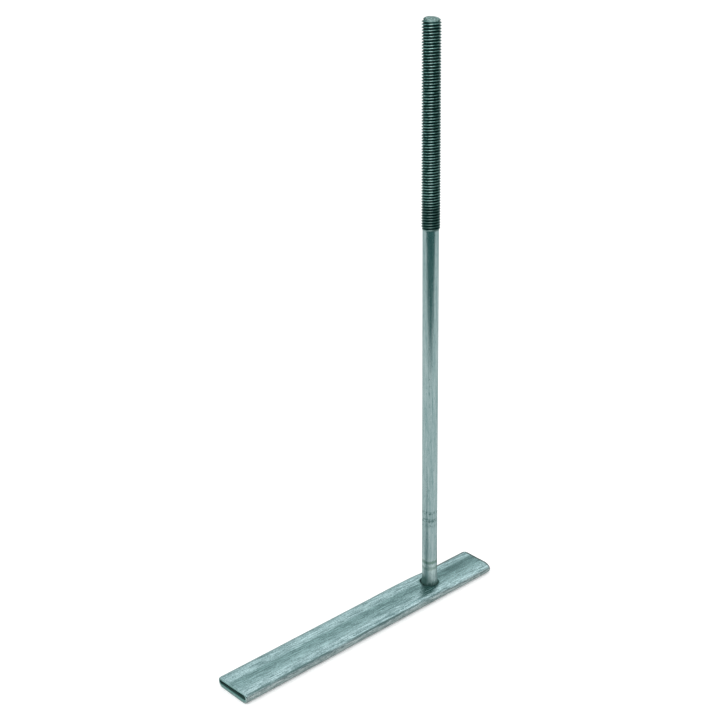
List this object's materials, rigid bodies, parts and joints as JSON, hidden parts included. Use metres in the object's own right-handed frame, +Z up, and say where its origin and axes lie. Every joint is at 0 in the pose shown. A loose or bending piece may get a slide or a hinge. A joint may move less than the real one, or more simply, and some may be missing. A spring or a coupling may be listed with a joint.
{
  "type": "wall plate anchor",
  "caption": "Upright steel rod, threaded at the top, riveted at its lower end into a flat foot that is a round tube pressed flat. The foot is built into masonry and the rod ties a plate down.",
  "frame": {"origin": "on the rod's axis, in the plane of the foot's underside", "axes": "+Z up the rod, +X along the foot towards its short end, +Y across the foot towards its back fold"},
  "size_m": [0.2245, 0.0294, 0.395],
  "materials": {
    "rod_zinc": "bright zinc plate over a drawn bar, semi-gloss",
    "foot_zinc": "bright zinc plate over pressed tube, semi-gloss, lightly scuffed"
  },
  "bodies": {
    "root": {"anchor_rod": "rod_zinc", "foot_tube": "foot_zinc"}
  },
  "joints": []
}
